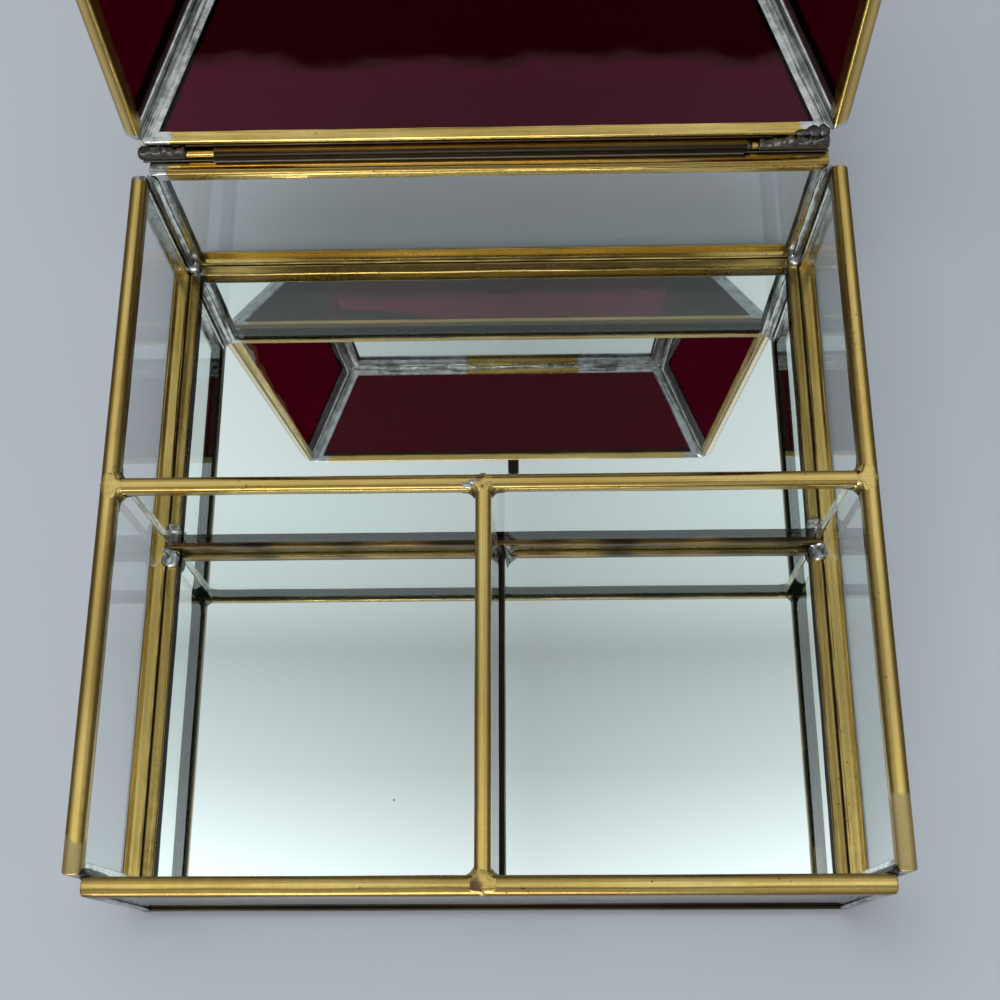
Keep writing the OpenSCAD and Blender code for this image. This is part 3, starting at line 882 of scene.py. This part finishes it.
def web(bm, centre, arms, reach, round_r, blend, seed, marks=()):
    """A smooth web where rims meet: a star-shaped cap over their crests, with concave corners.

    arms: direction in X and Y, and half the width, of each rim; blend: size of the concave corners;
    marks: stains as (x, y, radius)."""
    lay = {k: layer(bm, k) for k in ("age_and_shade", "crown", "run", "cross", "mark", "slot")}

    def outside(x, y):
        total = 0.0
        for ax, ay, half in arms:
            along = x * ax + y * ay
            side = abs(-x * ay + y * ax) - half * (1 - 0.12 * ramp(along, reach - 4, reach))
            total += math.exp(-(max(side, -along) if along < 0 else side) / blend)
        return -blend * math.log(total)

    def away(x, y):
        return max(x * ax + y * ay for ax, ay, half in arms)

    count, steps = 120, 14
    made = []
    for k in range(count):
        a = 2 * math.pi * k / count
        x, y = math.cos(a), math.sin(a)
        far = 0.0
        while far < 12 and away(x * far, y * far) < reach and outside(x * far, y * far) < 0:
            far += 0.04
        row = []
        for i in range(1, steps + 3):
            r = far * min(1.0, i / steps)
            px, py = x * r, y * r
            inner = min(round_r, max(0.0, -outside(px, py)))
            fall = round_r - math.sqrt(max(0.0, round_r ** 2 - (round_r - inner) ** 2))
            z = BOX_H - 0.05 - fall - 0.35 * ramp(away(px, py), reach - 4.0, reach)
            q = Vector((centre[0] + px, centre[1] + py, z))
            q.z += 0.05 * wobble(q, 3, seed)
            q.x, q.y = (max(-BOX / 2 + 0.06, min(BOX / 2 - 0.06, c)) for c in q.xy)
            if i > steps:
                q.z = BOX_H - 1.8 - 1.2 * (i - steps)
            row.append(bm.verts.new(q))
        made.append(row)
    top = bm.verts.new(Vector((centre[0], centre[1], BOX_H - 0.05)))
    under = bm.verts.new(Vector((centre[0], centre[1], BOX_H - 4.2)))
    for v in [top, under] + [v for row in made for v in row]:
        v[lay["age_and_shade"]] = 0.65 + 0.7 * wobble(v.co, 4, seed + 2)
        # The crown share sets the painted highlight on the web's top and the painted shade down its sides.
        v[lay["crown"]] = 1.0 - ramp(BOX_H - v.co.z, 0.3, 1.6)
        v[lay["run"]] = v.co.x
        v[lay["cross"]] = v.co.y
        # Painted shade: under the web's crest it is marked to be painted near black.
        v[lay["slot"]] = ramp(BOX_H - v.co.z, 1.7, 2.6)
        v[lay["mark"]] = max([1 - ramp(math.hypot(v.co.x - mx, v.co.y - my) + 0.6 * wobble(v.co, 1.2, 3),
                                       0.2 * mr, mr) for mx, my, mr in marks] + [0.0])
    for k in range(count):
        a, b = made[k], made[(k + 1) % count]
        bm.faces.new((top, a[0], b[0]))
        for i in range(len(a) - 1):
            bm.faces.new((a[i], a[i + 1], b[i + 1], b[i]))
        bm.faces.new((under, b[-1], a[-1]))


def rim_webs(bm):
    """The dividers' joints on the rim: one web in the middle, one on the front and one on each side."""
    rim_fillets(bm)
    d, w = DIVIDER_W / 2 - 0.12, CHANNEL_W / 2 - 0.12
    web(bm, (MID_X, CROSS_Y - 0.05), ((1, 0, d), (-1, 0, d), (0, -1, d)), 5.2, 1.4, 0.7, 140,
        marks=((MID_X - 0.8, CROSS_Y + 1.0, 2.2), (MID_X - 0.2, CROSS_Y - 1.6, 0.7)))
    web(bm, (MID_X, -INNER / 2 - CHANNEL_W / 2 + 0.1), ((1, 0, w), (-1, 0, w), (0, 1, d)), 6.0, 1.5, 0.7, 141,
        marks=((MID_X - 1.5, -INNER / 2 - 2.5, 3.0),))
    for sx in (-1, 1):
        web(bm, (sx * (INNER / 2 + CHANNEL_W / 2 - 0.1), CROSS_Y), ((0, 1, w), (0, -1, w), (-sx, 0, d)), 6.0,
            1.5, 0.7, 143 + sx, marks=((sx * (INNER / 2 - 1), CROSS_Y + 1.5, 1.6),))


def rim_drops(bm):
    """Two bright drops beside the meeting of the dividers."""
    lump(bm, (MID_X - 4.0, CROSS_Y - 1.1, BOX_H - 0.25), (1.5, 0.8, 0.3), seed=161, darkness=-0.2, turn=-18)
    lump(bm, (MID_X - 2.6, CROSS_Y - 0.2, BOX_H - 0.1), (0.9, 0.6, 0.2), seed=162, darkness=0.3)


def floor_fillets(bm):
    """Solder where the dividers end at the floor, with a flat lump beside each end of the cross one."""
    for i, (p, along, aside, mid) in enumerate(ends_of_dividers()):
        shift = Vector((math.tan(MID_LEAN) * DIVIDER_H, 0, 0)) if mid else Vector((0, 0, 0))
        q = p + shift
        seam(bm, q + Vector((0, 0, FLOOR_W - 0.2)), q + Vector((0, 0, FLOOR_W + 3.2)), along + aside,
             math.pi / 4, inner=4.2, outer=0.5, seed=95 + i, darkness=0.45)
        if not mid:
            lump(bm, q + 1.5 * along + 1.6 * aside + Vector((0, 0, FLOOR_W + 0.3)), (2.4, 2.9, 1.2),
                 seed=110 + i, darkness=0.35, rough=0.3)


solder("divider_rim_webs", ["divider_top_solder"], "box", rim_webs, POOLED)
solder("rim_solder_drops", ["divider_top_solder"], "box", rim_drops)
solder("divider_floor_lumps", ["divider_floor_solder"], "box", floor_fillets)

TO_LID = math.pi - END_SLOPE - LID_OPEN


def hinge_line(bm, x0, x1, section, seed):
    """Sweeps a section, as (radius, angle, darkness) round the hinge's axis, along the hinge; the darkness
    stands for patina and painted shade.
    """
    lay = {k: layer(bm, k) for k in ("age_and_shade", "run", "cross")}
    count = int(x1 - x0)
    rings = []
    for i in range(count + 1):
        x = x0 + (x1 - x0) * i / count
        ring = []
        for r, angle, darkness in section:
            d = spoke(angle)
            q = Vector((x, 0, 0)) + r * d
            r2 = r + 0.035 * wobble(q, 2.2, seed) if r > 1.2 else r
            v = bm.verts.new(Vector((x, HINGE_Y, HINGE_Z)) + r2 * d)
            v[lay["age_and_shade"]] = darkness
            v[lay["run"]] = x
            v[lay["cross"]] = 2.0 * angle
            ring.append(v)
        rings.append(ring)
    return rings


def tube_skin(bm):
    """The tube: bright along its top and rear, and painted darker brown on its front and lower side, which
    looks down at the rim, as painted shade.
    """
    # Painted shade: darker from 104° round past the front and bottom to 250–300°.
    section = [(TUBE_R, math.radians(a), 0.75 + 0.7 * ramp(a, 104, 132) * (1 - ramp(a, 250, 300)))
               for a in range(0, 360, 10)]
    bore = [(1.05, a, 1.5) for r, a, darkness in section]
    outer = hinge_line(bm, TUBE_X[0], TUBE_X[1], section, 130)
    inner = hinge_line(bm, TUBE_X[0], TUBE_X[1], bore, 130)
    for rings in (outer, inner):
        for a, b in zip(rings, rings[1:]):
            join_rings(bm, a, b)
    for i in (0, -1):
        join_rings(bm, outer[i], inner[i])


def thread(bm, centres, radius):
    """A thin round run of solder through the centres; radius(i, k) is its size at centre i, side k."""
    rings = []
    for i, c in enumerate(centres):
        rings.append([bm.verts.new(Vector(c) + radius(i, k) * spoke(math.pi * k / 6)) for k in range(12)])
    strip_faces(bm, rings)


def crevice(bm):
    """Dark solder along the crevice between the tube and the rear rim, with a blob at each end: solder and
    dirt with the crevice's shade painted into it.
    """
    tin, age_and_shade = layer(bm, "tin"), layer(bm, "age_and_shade")
    xs = [TUBE_X[0] - 0.5 + 0.7 * i for i in range(202)]
    thread(bm, [(x, 94.25, 51.8) for x in xs],
           lambda i, k: 0.42 + 0.05 * wobble((xs[i], 0, 0), 5, 131) + 0.03 * wobble((xs[i], k, 0), 1.3, 132))
    for x0, x1 in ((-92.0, TUBE_X[0] - 0.3), (TUBE_X[1] + 0.3, 90.2)):
        count = int((x1 - x0) / 0.6)
        thread(bm, [(x0 + (x1 - x0) * i / count, 94.95, 51.22) for i in range(count + 1)],
               lambda i, k: 0.43 + 0.05 * wobble((i, k, 0), 3, 137))
    # Painted shade, in part: the bead and blobs are made dark to fill the crevice's shade.
    for v in bm.verts:
        v[tin] = 1.0
        v[age_and_shade] = 1.1
    lump(bm, (TUBE_X[0] - 0.7, 93.6, 51.2), (1.5, 0.9, 0.65), seed=134, darkness=1.3, rough=0.2)
    lump(bm, (TUBE_X[1] + 0.4, HINGE_Y - 0.25, HINGE_Z + 0.3), (1.2, 1.15, 1.15), seed=135, darkness=1.3,
         rough=0.2)


def lip(bm):
    """The lid's edge turned down behind the tube, close to it, with its inner face painted dark as shade in
    the narrow gap.
    """
    angles = [math.radians(a) for a in range(-88, 52, 7)]
    # Painted shade: the inner face, toward the tube, is far darker than the outer.
    section = [(2.0, a, 1.7) for a in angles] + [(2.45, a, 0.5) for a in reversed(angles)]
    strip_faces(bm, hinge_line(bm, TUBE_X[0] - 19.5, TUBE_X[1] + 20.0, section, 136))


def right_wedge(bm):
    """The crust on the rod's right end, with three lumps up the lid's rear channel."""
    crust(bm, TUBE_X[1] + 2.6, TUBE_X[1] + 21.6, math.radians(58),
          lambda x: 0.8 + 1.9 * ramp(x, 74, 88), seed=123)
    out, up = spoke(TO_LID + math.pi / 2), spoke(TO_LID)
    lumps = ((82.6, 2.5, 2.2, 0.8), (85.4, 2.9, 2.0, 1.2), (88.0, 3.3, 1.7, 1.5))
    for i, (x, h, rx, rh) in enumerate(lumps):
        made = bmesh.new()
        lump(made, (0, 0, 0), (rx, 0.45, rh), seed=170 + i, rough=0.35, darkness=0.7)
        made.transform(Matrix(((1, 0, 0, 0), (0, out.y, up.y, 0), (0, out.z, up.z, 0), (0, 0, 0, 1))))
        made.transform(Matrix.Translation(Vector((x, HINGE_Y, HINGE_Z)) + 4.35 * out + h * up))
        join(bm, made)


def left_crust(bm):
    """The even crust on the rod's left end."""
    crust(bm, TUBE_X[0] - 20.4, TUBE_X[0] - 7.2, math.radians(62), lambda x: 1.15, seed=121)


solder("hinge_crust_left", ["hinge_rod_left_solder"], "lid", left_crust, FLUX)
solder("hinge_crust_right", ["hinge_rod_right_solder"], "lid", right_wedge, FLUX)
solder("hinge_crevice_solder_and_shade", ["hinge_tube_solder"], "box", crevice, FLUX)
solder("hinge_tube_skin", ["hinge_tube"], "box", tube_skin, TUBE)
solder("lid_rear_lip", ["lid_rear_frame"], "lid", lip, TUBE)


# ---- Glass -------------------------------------------------------------------------------

def block(name, low, high, place, body, nodes, materials, choose, bevel=0.12):
    """A pane with eased edges; choose(normal) gives each face's material."""
    bm = bmesh.new()
    bmesh.ops.create_cube(bm, size=1)
    lo, hi = Vector(low), Vector(high)
    for v in bm.verts:
        v.co = Vector(lo[i] + (v.co[i] + 0.5) * (hi[i] - lo[i]) for i in range(3))
    bmesh.ops.bevel(bm, geom=bm.edges[:], offset=bevel, segments=2, affect="EDGES")
    bm.normal_update()
    for f in bm.faces:
        f.material_index = choose(f.normal)
    bm.transform(place)
    finish_mesh(name, bm, body, nodes, materials, angle=30)


def raw_edges(bm, half, high):
    """The rough side edges of a divider's pane, which no channel covers."""
    for sx in (-1, 1):
        count = int((high - 6) / 0.8)
        rings = []
        for i in range(count + 1):
            z = -3.0 - (high - 6) * i / count
            ring = []
            for px, py in ((0.05, 1), (0.5, 0.85), (0.62, 0.3), (0.62, -0.3), (0.5, -0.85), (0.05, -1)):
                out = px + (0.12 * wobble((10 * sx, 4 * py, z), 2.5, 191) if px > 0.1 else 0)
                ring.append(bm.verts.new((sx * (half + out), py * (DIVIDER_T / 2 - 0.02), z)))
            rings.append(ring)
        strip_faces(bm, rings)


# Looks of the CAD's own meshes, as far as no piece stands for them
for node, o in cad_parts.items():
    if node.endswith("_glass"):
        ruby = node.startswith("lid_") and node != "lid_top_glass"
        for s in o.material_slots:
            s.material = CLEAR if not ruby else RUBY_REAR if node == "lid_rear_glass" else RUBY
    elif not node.startswith("floor_mirror"):
        for s in o.material_slots:
            # The lift tab and any other leftover piece: brass painted near black as shade.
            s.material = TUBE if node == "hinge_rod" else BLACK_BRASS

half = FLOOR / 2 - EDGE
block("mirror_plate", (-half, -half, EDGE), (half, half, EDGE + MIRROR_T), Matrix.Identity(4), "box",
      ["floor_mirror"], [CLEAR, SILVER], lambda normal: 1 if normal.z < -0.5 else 0, bevel=0.05)
for name, place, length, high in (("cross", CROSS_PLACE, CROSS_L, DIVIDER_H),
                                  ("mid", MID_PLACE, MID_L, MID_H)):
    half = length / 2 - DIVIDER_GLASS_SHORT
    block(name + "_divider_pane", (-half, -DIVIDER_T / 2, EDGE - high), (half, DIVIDER_T / 2, -EDGE), place,
          "box", [name + "_divider_glass"], [CLEAR, EDGE_GLASS],
          lambda normal: 1 if abs(normal.y) < 0.5 else 0)
    bm = bmesh.new()
    raw_edges(bm, half, high)
    bm.transform(place)
    finish_mesh(name + "_divider_raw_edges", bm, "box", [name + "_divider_glass"],
                [EDGE_GLASS])


# ---- Floor, light and camera -------------------------------------------------------------

def make_floor():
    """A wide sheet of grey paper under the box."""
    bm = bmesh.new()
    bmesh.ops.create_grid(bm, x_segments=2, y_segments=2, size=1.6)
    mesh = bpy.data.meshes.new("floor")
    bm.to_mesh(mesh)
    bm.free()
    floor = bpy.data.objects.new("floor", mesh)
    scene.collection.objects.link(floor)
    n = Nodes("floor_paper")
    cloud = n.noise(2.2, 3, 0.5)
    fibres = n.noise(900, 2, 0.5)
    colour = n.mix(cloud, (0.318, 0.338, 0.374), (0.372, 0.391, 0.425))
    colour = n.mix(n.range(fibres, 0.3, 0.7, 0, 0.05), colour, (0.3, 0.33, 0.37))
    n.principled(Base_Color=colour, Roughness=0.75, Specular_IOR_Level=0.2)
    mesh.materials.append(n.mat)
    floor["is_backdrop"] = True


def area_lamp(name, place, aim, size, power, colour=(1, 1, 1), glints=False):
    lamp = bpy.data.lights.new(name, "AREA")
    lamp.shape = "DISK"
    lamp.size = size
    lamp.energy = power
    lamp.color = colour
    o = bpy.data.objects.new(name, lamp)
    o.location = place
    o.rotation_mode = "QUATERNION"
    o.rotation_quaternion = (Vector(aim) - Vector(place)).to_track_quat("-Z", "Y")
    o.visible_glossy = glints
    scene.collection.objects.link(o)


# Brightness of the studio's light by direction: along the depth of the box, and across its width
WORLD_ALONG = ((-1.0, 0.31), (-0.9, 0.40), (-0.6, 0.71), (-0.3, 0.67), (-0.2, 0.45), (-0.16, 0.29),
               (-0.06, 0.27), (0.01, 0.3), (0.045, 0.95), (0.085, 1.0), (0.12, 0.80), (0.155, 0.63),
               (0.21, 0.51), (0.236, 0.44), (0.27, 0.58), (0.33, 0.68), (0.42, 0.62), (0.54, 0.49),
               (0.7, 0.49), (1.0, 0.31))
WORLD_ACROSS = ((-1.0, 0.32), (-0.75, 0.38), (-0.5, 0.72), (-0.25, 1.0), (0.0, 0.7), (0.25, 1.0), (0.5, 0.72),
                (0.75, 0.38), (1.0, 0.32))


def make_world():
    """A studio of soft grey light, which the mirror and the panes reflect."""
    world = bpy.data.worlds.new("studio")
    scene.world = world
    world.use_nodes = True
    t = world.node_tree
    t.nodes.clear()
    out = t.nodes.new("ShaderNodeOutputWorld")
    back = t.nodes.new("ShaderNodeBackground")
    back.inputs["Strength"].default_value = 1.35
    t.links.new(back.outputs[0], out.inputs[0])
    coord = t.nodes.new("ShaderNodeTexCoord")
    split = t.nodes.new("ShaderNodeSeparateXYZ")
    t.links.new(coord.outputs["Generated"], split.inputs[0])
    along = t.nodes.new("ShaderNodeValToRGB")
    across = t.nodes.new("ShaderNodeValToRGB")
    for letter, node, stops in (("Y", along, WORLD_ALONG), ("X", across, WORLD_ACROSS)):
        to_01 = t.nodes.new("ShaderNodeMapRange")
        to_01.inputs["From Min"].default_value = -1.0
        to_01.inputs["From Max"].default_value = 1.0
        t.links.new(split.outputs[letter], to_01.inputs["Value"])
        t.links.new(to_01.outputs[0], node.inputs[0])
        elements = node.color_ramp.elements
        while len(elements) < len(stops):
            elements.new(0.5)
        for e, (d, v) in zip(elements, stops):
            e.position = (d + 1) / 2
        for e, (d, v) in zip(elements, stops):
            e.color = (v * 0.955, v * 0.99, v, 1)
    both = t.nodes.new("ShaderNodeMix")
    both.data_type = "RGBA"
    both.blend_type = "MULTIPLY"
    both.inputs[0].default_value = 1.0
    t.links.new(along.outputs[0], both.inputs[6])
    t.links.new(across.outputs[0], both.inputs[7])
    t.links.new(both.outputs[2], back.inputs["Color"])


make_floor()
make_world()
area_lamp("key", (-0.2, 0.15, 1.25), (0, 0, 0), 1.1, 12)
area_lamp("window", (-0.2, -1.15, 0.75), (0, 0, 0), 0.7, 7.0, (1.0, 0.98, 0.95), True)

IMAGE_PIXELS = 1000
FOCAL_PIXELS = 1402.4
SENSOR_MM = 36
cam = bpy.data.cameras.new("camera")
cam.sensor_width = SENSOR_MM
cam.lens = FOCAL_PIXELS * SENSOR_MM / IMAGE_PIXELS
cam.clip_start = 0.01
eye = bpy.data.objects.new("camera", cam)
eye.location = (0.01069, -0.11774, 0.37075)
eye.rotation_euler = (math.radians(19.845), math.radians(1.395), math.radians(-0.113))
scene.collection.objects.link(eye)
scene.camera = eye

low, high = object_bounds()
